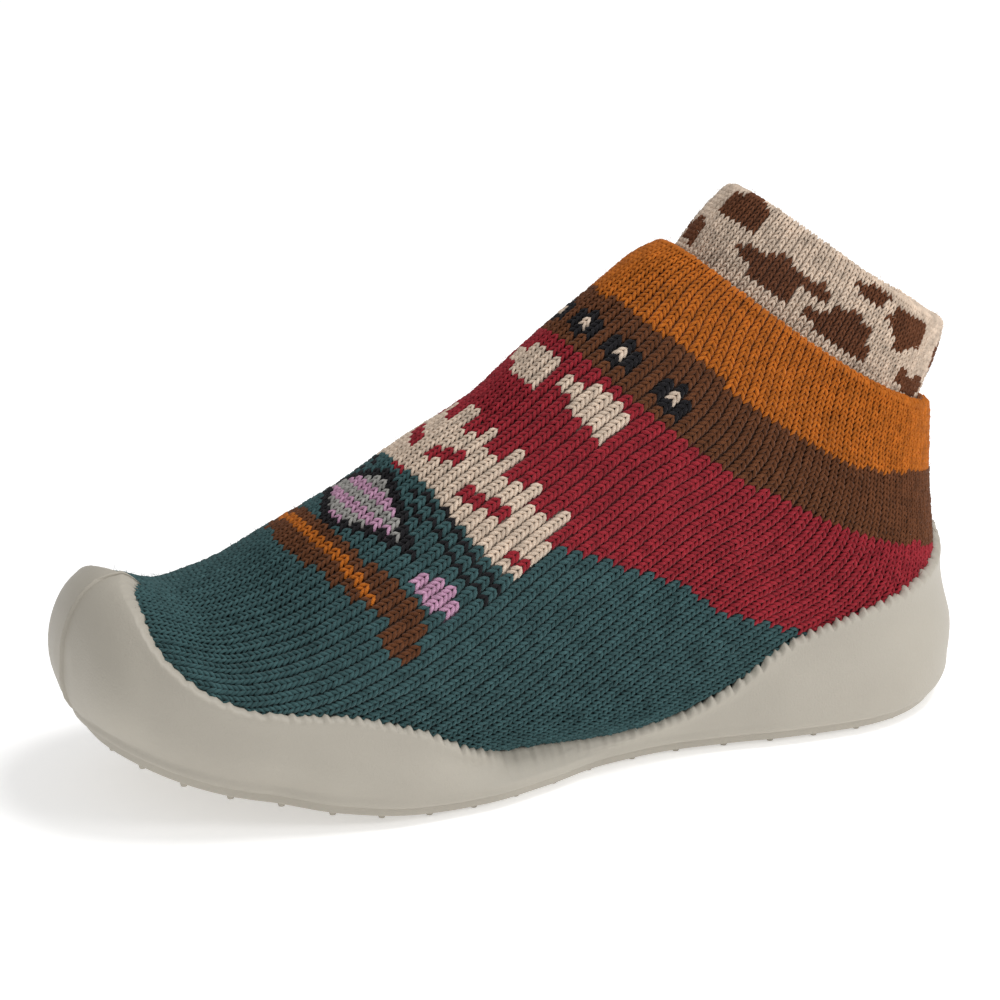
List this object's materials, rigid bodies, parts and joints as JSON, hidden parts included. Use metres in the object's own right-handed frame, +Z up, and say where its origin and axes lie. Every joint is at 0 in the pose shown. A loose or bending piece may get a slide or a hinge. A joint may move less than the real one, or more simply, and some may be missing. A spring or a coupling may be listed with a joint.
{
  "type": "knitted house slipper",
  "caption": "Child's house slipper: a hollow striped knit sock with a folded welt cuff, moulded into a one-piece rubber sole with toe cap, heel cup and nubbed tread.",
  "frame": {"origin": "centre of the footprint's bounding box, on the floor that the sole's nubs stand on", "axes": "+X towards the toe, +Y towards the wearer's left, +Z up"},
  "size_m": [0.1606, 0.0622, 0.0889],
  "materials": {
    "knit": "soft ribbed cotton knit",
    "welt_knit": "soft cotton knit, folded double",
    "sole_rubber": "matt moulded rubber"
  },
  "bodies": {
    "root": {"sock_body": "knit", "cuff": "welt_knit", "rubber_sole": "sole_rubber"}
  },
  "joints": []
}
